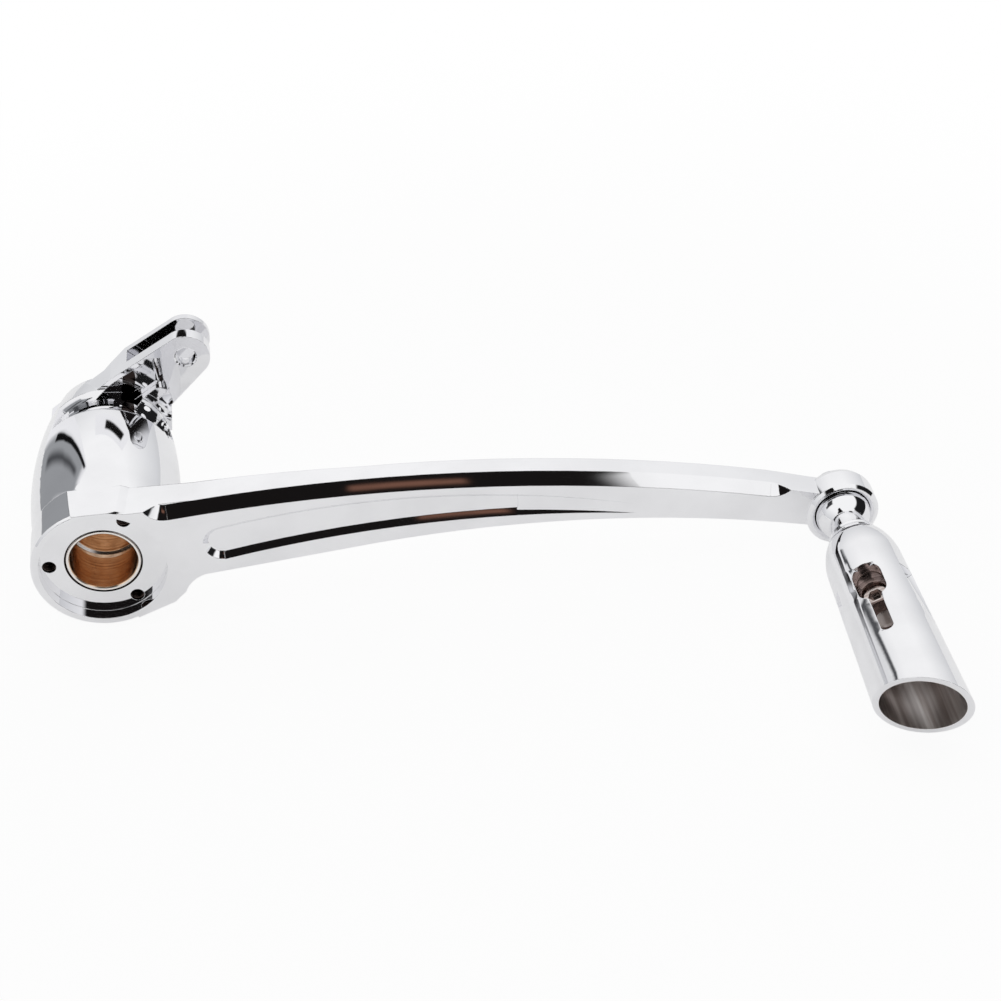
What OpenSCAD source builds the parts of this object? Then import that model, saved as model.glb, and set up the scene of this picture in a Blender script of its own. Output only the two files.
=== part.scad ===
// Rear brake pedal for a large motorcycle: billet arm with pivot boss, clevis lever and toe peg.
// The pivot axis is the Y axis, +X runs along the arm, +Z is up and +Y points inboard.
// The origin lies on the pivot axis, on the outer face of the outer bushing.

/* [Pivot] */
// Bore of the two bushings
pivot_bore_d = 25.4; // [24:0.1:26]
// Outside diameter of the two bushings
bushing_od = 27.8; // [27.4:0.1:28.4]
// Length of the outer bushing
outer_bushing_l = 19; // [16:0.5:22]
// Place where the inner bushing starts
inner_bushing_y = 23; // [22.5:0.5:26]
// Length of the inner bushing
inner_bushing_l = 55; // [30:1:60]

/* [Boss] */
// Outside diameter of the boss at its rim
boss_d = 54; // [52:0.5:56]
// Diameter of the recess for the cover
recess_d = 48; // [46:0.5:50]
// Depth of the recess
recess_depth = 4.8; // [3:0.2:6]
// Thickness of the boss along the pivot axis
boss_t = 16.8; // [14:0.2:20]
// Height of the flat on top of the boss
boss_flat_z = 25.7; // [25:0.1:26.4]
// Pitch radius of the three cover screws
cover_pitch_r = 20.5; // [19:0.1:21]
// Diameter of the cover screw holes
cover_hole_d = 5.3; // [4:0.1:6]
// Depth of the cover screw holes below the recess
cover_hole_depth = 9; // [6:0.5:10]

/* [Blade] */
// Thickness of the blade from its middle to the eye
blade_t = 12; // [10:0.5:13]
// Thickness of the blade at the boss
blade_root_t = 16.5; // [13:0.5:17]
// Radius of the upper edge
top_r = 675.6; // [640:0.2:720]
// Place of the highest point of the upper edge
top_x = 82.5; // [70:0.5:95]
// Height of the highest point of the upper edge
top_z = 26.1; // [24:0.1:28]
// Radius of the lower edge
bottom_r = 509.3; // [480:0.1:540]
// Place of the highest point of the lower edge
bottom_x = 143.8; // [135:0.2:150]
// Height of the highest point of the lower edge
bottom_z = -0.4; // [-3:0.1:2]

/* [Cove] */
// Radius of the cove's lower edge
cove_r = 679.5; // [660:0.1:700]
// Width of the cove below the upper edge
cove_w = 4.4; // [3:0.1:5]
// Depth of the cove into the front face
cove_depth = 4; // [3:0.1:5]
// Radius of the mill that cuts the cove
cove_mill_r = 9; // [7:0.5:12]
// Place where the cove starts
cove_x0 = 27; // [22:0.5:32]
// Place where the cove ends
cove_x1 = 256; // [240:0.5:262]

/* [Pocket] */
// Depth of the long pocket in the front face
pocket_depth = 2.2; // [1.6:0.1:3]
// Left end of the long pocket
pocket_x0 = 38.3; // [36:0.1:45]
// Right end of the long pocket
pocket_x1 = 158.5; // [140:0.5:170]
// Depth of the shallow groove where it leaves the pocket
groove_depth = 1.5; // [0.5:0.1:1.6]
// Place where the shallow groove runs out
groove_x1 = 204; // [180:1:215]

/* [Hub] */
// Largest diameter of the hub
hub_d = 58; // [57:0.2:60]
// Place of the crest where the hub meets the saddle
crest_y = 60.5; // [55:0.5:64]
// Radius of the roll along the crest
crest_roll_r = 5; // [3:0.5:8]
// Distance of the saddle's lowest line from the pivot axis
saddle_floor_r = 21; // [20:0.2:24]
// Diameter of the hub at its inboard end
hub_end_d = 50.5; // [49:0.5:54]
// Height of the hub's end above the back of the lever
hub_proud = 4; // [2:0.2:6]

/* [Lever] */
// Place of the lever's front face
lever_y = 80.2; // [76:0.2:84]
// Thickness of the lever at the pivot
lever_t = 10.8; // [9:0.2:12]
// Thickness of the lever at its fork
fork_t = 17.2; // [16:0.2:18]
// Thickness of the front ear of the fork
front_ear_t = 5.8; // [5:0.1:6.5]
// Gap of the fork
fork_gap = 8.4; // [7.5:0.1:9]
// Distance of the pin hole from the pivot axis
pin_reach = 51; // [48:0.5:54]
// Angle of the pin hole above the X axis
pin_angle = 45; // [40:1:50]
// Diameter of the pin hole
pin_hole_d = 7.9; // [7:0.1:8.4]
// Radius of the fork's tip
tip_r = 9.8; // [9:0.1:10.4]

/* [Eye] */
// Distance of the eye from the pivot along X
eye_x = 284.9; // [270:0.1:300]
// Height of the eye against the pivot
eye_z = -12.6; // [-14:0.1:-11]
// Outside diameter of the eye
eye_d = 28.4; // [27:0.2:30]
// Height of the eye's rim above the front face
eye_rise = 1.8; // [1:0.1:2.5]
// Diameter of the ball
ball_d = 21.4; // [20:0.1:22]
// Clearance between the ball and its cup
ball_clearance = 0.3; // [0.2:0.05:0.5]
// Diameter of the mount bolt's hole
mount_hole_d = 8.1; // [8:0.05:9]

/* [Toe peg] */
// Diameter of the sleeve at its nose
nose_d = 19; // [18:0.2:20]
// Diameter of the sleeve where the nose ends
sleeve_d = 29; // [28.5:0.1:30]
// Growth of the sleeve's radius for each millimetre of length
sleeve_taper = 0.0258; // [0.02:0.0005:0.03]
// Place of the nose in front of the arm's front face
nose_y = 17; // [16:0.5:18]
// Length of the sleeve along its axis, from the front face of the arm
sleeve_reach = 112.5; // [105:0.5:118]
// Slope of the end cut towards +X
cut_slope_x = 0.361; // [0.2:0.01:0.45]
// Slope of the end cut towards +Z
cut_slope_z = 0.252; // [0.1:0.01:0.35]
// Bore of the sleeve around the barrel
sleeve_bore_d = 20.6; // [20:0.1:21]
// Bore of the sleeve at its open end
mouth_bore_d = 28.4; // [27:0.1:28.6]
// Length of the wide bore at the open end
mouth_l = 36.5; // [30:0.5:40]
// Angle of the slot from the top towards the pivot
slot_angle = 23; // [18:1:28]
// Width of the wide part of the slot
slot_w = 11; // [10:0.2:12]
// Distance from the screw to the start of the wide slot
slot_ahead = 11; // [9:0.5:12]
// Distance from the screw to the end of the wide slot
slot_behind = 8; // [6:0.5:12]
// Width of the narrow part of the slot
narrow_w = 4.8; // [4:0.1:5.5]
// Distance from the screw to the end of the narrow slot
narrow_behind = 27; // [24:0.5:32]
// Number of flutes around the sleeve
flute_count = 5; // [4:1:6]
// Radius of the cutter that makes the flutes
flute_r = 5.6; // [4.5:0.1:6.5]
// Depth of a flute at its start
flute_depth = 2.3; // [1:0.1:2.6]
// Distance from the open end to where the flutes run out
flute_end = 28.5; // [26:0.5:32]

/* [Clamp] */
// Diameter of the stud's neck
neck_d = 15; // [14:0.2:16]
// Clearance between the neck and the nose of the sleeve
neck_clearance = 0.1; // [0.05:0.05:0.2]
// Diameter of the stud's shank
shank_d = 10; // [8:0.5:11]
// Free length of the sleeve behind the barrel
barrel_depth = 46.5; // [44:0.5:50]
// Clearance between the barrel and the sleeve
barrel_clearance = 0.1; // [0.05:0.05:0.2]
// Distance of the clamp screw from the open end of the barrel
screw_inset = 6; // [5.5:0.5:9]
// Diameter of the clamp screw
screw_d = 6; // [5:0.5:6]
// Diameter of the clamp screw's head
screw_head_d = 10; // [9:0.2:10.4]
// Height of the clamp screw's head
screw_head_h = 6; // [5:0.2:6]
// Distance of the top of the screw's head from the peg axis
screw_top_r = 8.4; // [7.5:0.1:9]
// Width across the flats of the screw's socket
screw_key_w = 5; // [4:0.5:5]

/* [Mount bolt] */
// Diameter of the mount bolt
bolt_d = 8; // [6:0.5:8]
// Diameter of the mount bolt's head
bolt_head_d = 13; // [12:0.2:13.5]
// Height of the mount bolt's head
bolt_head_h = 6; // [5:0.2:8]
// Width across the flats of the bolt's socket
bolt_key_w = 6; // [5:0.5:6]
// Diameter of the washer
washer_d = 16; // [15:0.5:18]
// Thickness of the washer
washer_t = 1.6; // [1:0.1:2]

/* [Hidden] */
// True circles need more than twelve segments
$fn = 96;
// Overshoot that keeps cuts clean
eps = 0.5;
// Size that reaches past the whole part
far = 400;
// Front faces of the boss and the blade lie in one plane
front_y = -recess_depth;
boss_back_y = front_y + boss_t;
lever_back_y = lever_y + lever_t;
fork_back_y = lever_y + fork_t;
hub_back_y = lever_back_y + hub_proud;
eye_back_y = front_y + blade_t - 0.6;
ball_y = front_y - 0.4;
// Colours
CHROME = "gainsboro";
BRONZE = "peru";
DARK_STEEL = "dimgray";

// Extrudes an outline drawn in X and Z from y0 to y1
module along_y(y0, y1) {
    translate([0, y1, 0]) rotate([90, 0, 0]) linear_extrude(y1 - y0) children();
}

// Turns a profile drawn as radius and Y about an axis parallel to Y
module turned(x = 0, z = 0) {
    translate([x, 0, z]) rotate([-90, 0, 0]) rotate_extrude() children();
}

// Sweeps a profile drawn as radius and Y from angle a0 to a1, counted from +X towards +Z
module swept(x, z, a0, a1) {
    translate([x, 0, z]) rotate([-90, 0, 0]) rotate([0, 0, -a1])
        rotate_extrude(angle = a1 - a0) children();
}

// Round bar parallel to Y from y0 to y1
module bar(x, z, d, y0, y1) {
    translate([x, y0, z]) rotate([-90, 0, 0]) cylinder(h = y1 - y0, d = d);
}

// Cone parallel to Y from diameter d0 at y0 to d1 at y1
module cone(x, z, d0, d1, y0, y1) {
    translate([x, y0, z]) rotate([-90, 0, 0]) cylinder(h = y1 - y0, d1 = d0, d2 = d1);
}

// Turns its children about the peg axis, from the top towards the pivot
module around_peg(angle) {
    translate([eye_x, front_y, eye_z]) rotate([0, -angle, 0]) children();
}

top_c_z = top_z - top_r;
cove_c_z = top_z - cove_w - cove_r;
bottom_c_z = bottom_z - bottom_r;
// The lower edge is nearly straight left of this place
bottom_line_x = 92;
bottom_line_slope = 0.088;
bottom_line_z = bottom_c_z + sqrt(pow(bottom_r, 2) - pow(bottom_x - bottom_line_x, 2));
function bottom_line(x) = bottom_line_z - bottom_line_slope * (bottom_line_x - x);
// Fillet between the cheek of the boss and the lower edge
root_fillet_r = 12.3;
root_fillet_x = 40.7;

// Everything below the lower edge of the blade
module below_blade() {
    translate([bottom_x, bottom_c_z]) circle(r = bottom_r);
    line_end = bottom_x - bottom_line_slope * bottom_r;
    polygon([[0, -far], [0, bottom_line(0)], [line_end, bottom_line(line_end)], [line_end, -far]]);
}

// Cheek that runs from the boss to the lower edge
module cheek_outline() {
    into_blade = 2;
    bite = 0.15;
    difference() {
        polygon([
            [1, 1], [9.8, -25.2], [24.4, -19.6], [31.2, -13.4],
            [root_fillet_x, bottom_line(root_fillet_x) + into_blade]
        ]);
        translate([root_fillet_x, bottom_line(root_fillet_x) - root_fillet_r + bite])
            circle(r = root_fillet_r);
    }
}

// Long arched stretch seen from the front
module arch_outline() {
    difference() {
        intersection() {
            translate([top_x, top_c_z]) circle(r = top_r);
            translate([12, -60]) square([eye_x - 12, 120]);
        }
        below_blade();
    }
}

// Root that ties the arch to the boss
module root_outline() {
    polygon([[-8, 0], [-8, boss_flat_z], [3, boss_flat_z], [12, 24.3], [44, 24.6], [44, 0]]);
}

// Blade seen from above, thicker towards the boss
module blade_plan() {
    polygon([
        [-20, front_y], [eye_x, front_y], [eye_x, eye_back_y - 0.4],
        [eye_x - 0.45 * eye_d, eye_back_y - 0.4], [eye_x - eye_d, front_y + blade_t], [100, front_y + blade_t], [15, front_y + blade_root_t], [-20, front_y + blade_root_t]
    ]);
}

module blade() {
    intersection() {
        union() {
            along_y(front_y, front_y + blade_root_t) arch_outline();
            along_y(front_y, front_y + blade_root_t) root_outline();
            along_y(front_y, front_y + blade_root_t) cheek_outline();
        }
        translate([0, 0, -far / 2]) linear_extrude(far) blade_plan();
    }
}

// Boss with a slightly rounded rim
module boss() {
    rim_round = 0.8;
    turned() polygon([
        [0, front_y], [boss_d / 2 - rim_round, front_y], [boss_d / 2, front_y + rim_round],
        [boss_d / 2 + 0.6, boss_back_y], [0, boss_back_y]
    ]);
}

// Hub that swells behind the boss and tapers towards the lever
swell_r = 190;
swell_y = 42.7;
function hub_r(y) = hub_d / 2 - swell_r + sqrt(pow(swell_r, 2) - pow(y - swell_y, 2));
module hub() {
    turned() intersection() {
        translate([hub_d / 2 - swell_r, swell_y]) circle(r = swell_r, $fn = 96);
        polygon([
            [0, boss_back_y - 6], [hub_d, boss_back_y - 6], [hub_d, crest_y + 8],
            [hub_end_d / 2 + 1.4, lever_y], [hub_end_d / 2, hub_back_y], [0, hub_back_y]
        ]);
    }
}

tip_x = pin_reach * cos(pin_angle);
tip_z = pin_reach * sin(pin_angle);

// Lever seen from the front, without its round tip
module lever_outline() {
    reach = tip_r - 0.05;
    polygon([
        [-21.6, 11.6], [4.9, 29.3], [tip_x - 0.494 * reach, tip_z + 0.869 * reach],
        [tip_x + 0.684 * reach, tip_z - 0.729 * reach], [27.6, 14.2], [26, 2], [0, -4]
    ]);
}

// Lever seen along its face, stepping out to the fork
module lever_plan() {
    step_s0 = 20.8;
    step_s1 = 31;
    reach = 2 * pin_reach;
    polygon([
        [-reach, lever_y], [reach, lever_y], [reach, fork_back_y], [step_s1, fork_back_y],
        [step_s0, lever_back_y], [-reach, lever_back_y]
    ]);
}

module lever() {
    intersection() {
        union() {
            along_y(lever_y, fork_back_y) lever_outline();
            bar(tip_x, tip_z, 2 * tip_r, lever_y, fork_back_y);
        }
        rotate([0, -pin_angle, 0]) translate([0, 0, -far / 2]) linear_extrude(far) lever_plan();
    }
}

// Round eye at the far end
module eye() {
    round_r = 1.2;
    back_round = 3.2;
    rim_y = front_y - eye_rise;
    turned(eye_x, eye_z) polygon([
        [0, rim_y], [eye_d / 2 - round_r, rim_y], [eye_d / 2, rim_y + round_r],
        [eye_d / 2, eye_back_y - back_round], [eye_d / 2 - 0.3 * back_round, eye_back_y - 0.3 * back_round],
        [eye_d / 2 - back_round, eye_back_y], [0, eye_back_y]
    ]);
}

// Flat on the boss with a round run-up to the hub
module boss_flat_cut() {
    run_r = 7;
    translate([-30, front_y - eps, boss_flat_z]) cube([80, boss_t + eps, 20]);
    translate([-30, boss_back_y, boss_flat_z + run_r]) rotate([0, 90, 0])
        cylinder(h = 80, r = run_r);
}

// Recess for the cover with its three screw holes
module recess_cut() {
    bar(0, 0, recess_d, front_y - eps, 0);
    for (a = [60, 180, 300])
        bar(cover_pitch_r * cos(a), cover_pitch_r * sin(a), cover_hole_d, front_y - eps, cover_hole_depth);
}

// Bore for the bushings, with a lead-in at both ends
module pivot_cut() {
    lead = 0.8;
    bar(0, 0, bushing_od, -eps, hub_back_y + eps);
    cone(0, 0, bushing_od + 2 * lead, bushing_od, -0.01, lead);
    cone(0, 0, bushing_od, bushing_od + 2 * lead, hub_back_y - lead, hub_back_y + 0.01);
}

// Sloping cut from x0 to x1 whose lower wall faces up and forwards
module cove_sweep(x0, x1) {
    a0 = acos((x1 - top_x) / cove_r);
    a1 = acos((x0 - top_x) / cove_r);
    slope = cove_w / cove_depth;
    swept(top_x, cove_c_z, a0, a1) polygon([
        [cove_r - slope, front_y - 1], [cove_r + cove_w, front_y + cove_depth],
        [cove_r + 2 * cove_w, front_y + cove_depth], [cove_r + 2 * cove_w, front_y - 1]
    ]);
}

// Round end that the mill leaves where the cove starts or stops at x
module cove_end(x) {
    lift = 0.05;
    slope = cove_w / cove_depth;
    reach = cove_r + cove_mill_r + lift;
    a = acos((x - top_x) / cove_r);
    cone(top_x + reach * cos(a), cove_c_z + reach * sin(a), 2 * (cove_mill_r + slope),
        2 * (cove_mill_r - cove_w), front_y - 1, front_y + cove_depth);
}

// Cove along the upper edge
module cove_cut() {
    cove_sweep(cove_x0, cove_x1);
    cove_end(cove_x0);
    cove_end(cove_x1);
}

// Long pocket between two arcs, with walls that slope in to its floor
upper_arc = [101.5, -327.6, 345.8];
lower_arc = [125.3, -485.2, 490];
module pocket_sweep(depth) {
    rise = 16;
    swept(lower_arc[0], lower_arc[1], 75, 105) polygon([
        [lower_arc[2] - 1, front_y - 1], [lower_arc[2] + depth, front_y + depth],
        [lower_arc[2] + rise, front_y + depth], [lower_arc[2] + rise, front_y - 1]
    ]);
}

// Cone that keeps the pocket below its upper arc
module pocket_roof(depth) {
    cone(upper_arc[0], upper_arc[1], 2 * (upper_arc[2] + 1), 2 * (upper_arc[2] - depth - 1),
        front_y - 1, front_y + depth + 1);
}

module pocket_cut() {
    end_r = 7.5;
    pocket_end_z = 6.05;
    tail_r = 14;
    deep = pocket_depth + 1;
    intersection() {
        pocket_sweep(pocket_depth);
        pocket_roof(pocket_depth);
        union() {
            cone(pocket_x0 + end_r, pocket_end_z, 2 * (end_r + 1), 2 * (end_r - deep), front_y - 1, front_y + deep);
            translate([pocket_x0 + end_r, front_y - 1, -20]) cube([pocket_x1 - tail_r - 44, deep + 1, 60]);
            bar(pocket_x1 - tail_r, 9, 2 * tail_r, front_y - 1, front_y + deep);
        }
    }
}

// Shallow groove that carries on from the pocket and runs out
module groove_cut() {
    start_x = pocket_x1 - 12;
    start_depth = groove_depth * (groove_x1 - start_x) / (groove_x1 - pocket_x1);
    intersection() {
        pocket_sweep(pocket_depth);
        pocket_roof(pocket_depth);
        translate([0, 0, -far / 2]) linear_extrude(far) polygon([
            [start_x, front_y - 0.8], [groove_x1, front_y - 0.8], [groove_x1, front_y],
            [start_x, front_y + start_depth]
        ]);
    }
}

// Saddle between the hub and the lever, with a rolled crest on the hub's side
module saddle_cut() {
    into_lever = 0.3;
    bite = 0.02;
    end_step = 0.2;
    roll_mid_r = hub_r(crest_y) - crest_roll_r;
    // The hollow's radius makes it touch the roll, the saddle's floor and the lever's face
    span = lever_y + into_lever - crest_y;
    drop = roll_mid_r - saddle_floor_r;
    sum = span + crest_roll_r + drop;
    saddle_r = sum - sqrt(pow(sum, 2) - pow(span, 2) + pow(crest_roll_r, 2) - pow(drop, 2));
    mid_r = saddle_floor_r + saddle_r;
    mid_y = lever_y + into_lever - saddle_r;
    touch = crest_roll_r / (saddle_r + crest_roll_r);
    touch_r = roll_mid_r + (mid_r - roll_mid_r) * touch;
    touch_y = crest_y + (mid_y - crest_y) * touch;
    swept(0, 0, 22, 132) difference() {
        union() {
            translate([mid_r, mid_y]) circle(r = saddle_r + bite);
            polygon([
                [roll_mid_r, crest_y], [hub_d, crest_y], [hub_d, mid_y + saddle_r],
                [mid_r, mid_y + saddle_r], [mid_r, mid_y], [touch_r, touch_y]
            ]);
        }
        translate([roll_mid_r, crest_y]) circle(r = crest_roll_r);
    }
    rotate([0, -22, 0]) translate([mid_r, mid_y, 0]) sphere(r = saddle_r - end_step);
}

// Scooped relief in the lever's front face
module relief_cut() {
    depth = 3.4;
    wall_x = 22.5;
    along_y(lever_y - 3, lever_y + depth)
        polygon([[-8, 18.5], [5.4, 27.2], [wall_x, 37], [wall_x, 23], [12, 16]]);
    translate([wall_x, lever_y, 23]) cylinder(h = 14, r = depth);
}

// Gap of the fork, cut square to the lever
module fork_cut() {
    gap_start = 32;
    rotate([0, -pin_angle, 0])
        translate([gap_start, lever_y + front_ear_t, -30]) cube([60, fork_gap, 60]);
}

module pin_cut() {
    chamfer = 0.9;
    bar(tip_x, tip_z, pin_hole_d, lever_y - eps, fork_back_y + eps);
    cone(tip_x, tip_z, pin_hole_d + 2 * chamfer, pin_hole_d, lever_y - 0.01, lever_y + chamfer);
}

// Cup for the ball and the hole for the mount bolt
module cup_cut() {
    cup_r = ball_d / 2 + ball_clearance;
    rim_y = front_y - eye_rise;
    turned(eye_x, eye_z) intersection() {
        union() {
            translate([0, ball_y]) circle(r = cup_r);
            polygon([
                [0, ball_y + 2], [cup_r - 0.3, ball_y + 2], [cup_r, rim_y + 1.2],
                [12.3, rim_y - 0.1], [12.3, rim_y - 20], [0, rim_y - 20]
            ]);
        }
        translate([0, -far]) square([far, 2 * far]);
    }
    bar(eye_x, eye_z, mount_hole_d, ball_y, eye_back_y + eps);
}

module arm_blank() {
    boss();
    blade();
    hub();
    lever();
    eye();
}

module brake_arm() {
    color(CHROME) difference() {
        arm_blank();
        boss_flat_cut();
        recess_cut();
        pivot_cut();
        cove_cut();
        pocket_cut();
        groove_cut();
        saddle_cut();
        relief_cut();
        fork_cut();
        pin_cut();
        cup_cut();
    }
}

module bushing(y0, length) {
    lead = 0.5;
    difference() {
        bar(0, 0, bushing_od, y0, y0 + length);
        bar(0, 0, pivot_bore_d, y0 - eps, y0 + length + eps);
        cone(0, 0, pivot_bore_d + 2 * lead, pivot_bore_d, y0 - 0.01, y0 + lead);
        cone(0, 0, pivot_bore_d, pivot_bore_d + 2 * lead, y0 + length - lead, y0 + length + 0.01);
    }
}

module outer_bushing() {
    color(BRONZE) bushing(0, outer_bushing_l);
}

module inner_bushing() {
    color(BRONZE) bushing(inner_bushing_y, inner_bushing_l);
}

// The peg parts are drawn on the axis with the front face of the arm at zero and the peg along -Y
barrel_y0 = -28;
barrel_y1 = barrel_depth - sleeve_reach;
barrel_l = barrel_y0 - barrel_y1;
mouth_y = sleeve_reach - mouth_l;
flute_y1 = sleeve_reach - flute_end;
screw_y = -barrel_y1 - screw_inset;
slot_y0 = screw_y - slot_ahead;
slot_y1 = screw_y + slot_behind;
narrow_y1 = screw_y + narrow_behind - narrow_w / 2;

// Ball, neck and shank, with a tapped hole for the mount bolt
module ball_stud() {
    bolt_depth = 4;
    flat_depth = 1.6;
    shank_inset = 1;
    collar_gap = 0.15;
    collar_in = 0.9;
    color(CHROME) translate([eye_x, front_y, eye_z]) difference() {
        turned() intersection() {
            union() {
                translate([0, ball_y - front_y]) circle(d = ball_d);
                translate([0, barrel_y0]) square([neck_d / 2, -barrel_y0 - 4]);
                polygon([
                    [0, collar_gap - nose_y], [nose_d / 2 - collar_in, collar_gap - nose_y],
                    [ball_d / 2 - collar_in, ball_y - front_y - 4], [0, ball_y - front_y - 4]
                ]);
                translate([0, barrel_y1 + shank_inset]) square([shank_d / 2, barrel_l]);
            }
            translate([0, -far]) square([far, far + ball_d / 2 - flat_depth]);
        }
        bar(0, 0, bolt_d, -bolt_depth, 20);
        screw_cross_hole();
    }
}

// Hole for the clamp screw across the shank and the barrel
module screw_cross_hole() {
    rotate([0, -slot_angle, 0]) translate([0, -screw_y, -20]) cylinder(h = 40, d = screw_d);
}

// Outside of the sleeve as radius and Y
module sleeve_profile() {
    nose_round_r = 33.2;
    tangent_y = -36;
    end_y = -140;
    line_r = sleeve_d / 2;
    intersection() {
        polygon([
            [0, -nose_y], [nose_d / 2, -nose_y], [nose_d / 2 + 8, -nose_y - 1.5], [40, -20],
            [40, tangent_y], [line_r, tangent_y],
            [line_r + sleeve_taper * (tangent_y - end_y), end_y], [0, end_y]
        ]);
        union() {
            translate([line_r - nose_round_r, tangent_y]) circle(r = nose_round_r, $fn = 128);
            translate([0, end_y]) square([40, tangent_y - end_y]);
            translate([0, -nose_y - 1.5]) square([nose_d / 2, 1.5]);
        }
    }
}

// Slanting cut at the open end
module end_cut() {
    multmatrix([
        [1, 0, 0, 0],
        [-cut_slope_x, 1, -cut_slope_z, 0],
        [0, 0, 1, 0],
        [0, 0, 0, 1]
    ]) translate([-40, -sleeve_reach - 60, -40]) cube([80, 60, 80]);
}

// One flute, deepest at its start
module flute() {
    start_r = sleeve_d / 2 + sleeve_taper * (slot_y0 - 36) + flute_r - flute_depth;
    end_r = sleeve_d / 2 + sleeve_taper * (flute_y1 - 36) + flute_r;
    lean = atan((end_r - start_r) / (flute_y1 - slot_y0));
    translate([0, -slot_y0, start_r]) rotate([90 - lean, 0, 0])
        cylinder(h = flute_y1 - slot_y0 + 10, r = flute_r);
}

// Wide slot over the screw, and the narrow slot behind it
module keyhole_cut() {
    straight = slot_y1 - slot_y0 - slot_w;
    translate([-slot_w / 2, -slot_y1 + slot_w / 2, 0]) cube([slot_w, straight, sleeve_d]);
    for (y = [slot_y0 + slot_w / 2, slot_y1 - slot_w / 2])
        translate([0, -y, 0]) cylinder(h = sleeve_d, d = slot_w);
    translate([-narrow_w / 2, -narrow_y1, 0]) cube([narrow_w, narrow_y1 - slot_y1 + slot_w / 2, sleeve_d]);
    translate([0, -narrow_y1, 0]) cylinder(h = sleeve_d, d = narrow_w);
}

module toe_peg() {
    color(CHROME) translate([eye_x, front_y, eye_z]) difference() {
        turned() sleeve_profile();
        bar(0, 0, neck_d + 2 * neck_clearance, -30, 0);
        bar(0, 0, sleeve_bore_d, -mouth_y - eps, barrel_y0 + 1);
        cone(0, 0, mouth_bore_d, sleeve_bore_d, -mouth_y, -mouth_y + 3);
        bar(0, 0, mouth_bore_d, -sleeve_reach - 40, -mouth_y);
        end_cut();
        for (i = [0 : flute_count - 1]) rotate([0, -slot_angle + i * 360 / flute_count, 0]) flute();
        rotate([0, -slot_angle, 0]) keyhole_cut();
    }
}

module clamp_barrel() {
    barrel_d = sleeve_bore_d - 2 * barrel_clearance;
    color(DARK_STEEL) translate([eye_x, front_y, eye_z]) difference() {
        bar(0, 0, barrel_d, barrel_y1, barrel_y0);
        bar(0, 0, shank_d, barrel_y1 - eps, barrel_y0 + eps);
        screw_cross_hole();
        rotate([0, -slot_angle, 0])
            translate([0, -screw_y, screw_top_r - screw_head_h]) cylinder(h = 20, d = screw_head_d + 0.4);
    }
}

// Six-sided socket of a screw
module socket(width, depth) {
    cylinder(h = depth + eps, d = width / cos(30), $fn = 6);
}

module peg_clamp_screw() {
    shank_l = 16;
    chamfer = 0.6;
    head_z = screw_top_r - screw_head_h;
    color(DARK_STEEL) around_peg(slot_angle) translate([0, -screw_y, 0]) difference() {
        union() {
            translate([0, 0, head_z]) cylinder(h = screw_head_h - chamfer, d = screw_head_d);
            translate([0, 0, screw_top_r - chamfer])
                cylinder(h = chamfer, d1 = screw_head_d, d2 = screw_head_d - 2 * chamfer);
            translate([0, 0, head_z - shank_l / 2]) cylinder(h = shank_l / 2 + eps, d = screw_d);
        }
        translate([0, 0, screw_top_r - 3]) socket(screw_key_w, 3);
    }
}

module peg_mount_bolt() {
    head_y = eye_back_y + washer_t;
    color(DARK_STEEL) difference() {
        union() {
            bar(eye_x, eye_z, bolt_head_d, head_y, head_y + bolt_head_h);
            bar(eye_x, eye_z, bolt_d, front_y - 3.5, head_y + eps);
        }
        translate([eye_x, head_y + bolt_head_h + eps, eye_z]) rotate([90, 0, 0]) socket(bolt_key_w, 3.5);
    }
}

module mount_washer() {
    color(DARK_STEEL) difference() {
        bar(eye_x, eye_z, washer_d, eye_back_y, eye_back_y + washer_t);
        bar(eye_x, eye_z, mount_hole_d + 0.3, eye_back_y - eps, eye_back_y + washer_t + eps);
    }
}

brake_arm();
outer_bushing();
inner_bushing();
ball_stud();
toe_peg();
clamp_barrel();
peg_clamp_screw();
peg_mount_bolt();
mount_washer();
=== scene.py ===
"""Rear brake pedal of a large motorcycle: finishes, small repeated details, studio and camera.

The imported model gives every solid. This script dresses the solids in chrome plate, bronze and
steel, turns the ball stud anew with its whole ball in view, adds the threads and the knurling
that are too fine for the solids, and lights the whole in a white photo tent. All lengths are
metres unless a name says millimetres.
"""

import logging
import math
from dataclasses import dataclass
from enum import Enum
from typing import Any, Iterable, Mapping, Sequence

import bmesh
import bpy
from mathutils import Matrix, Vector

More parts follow.
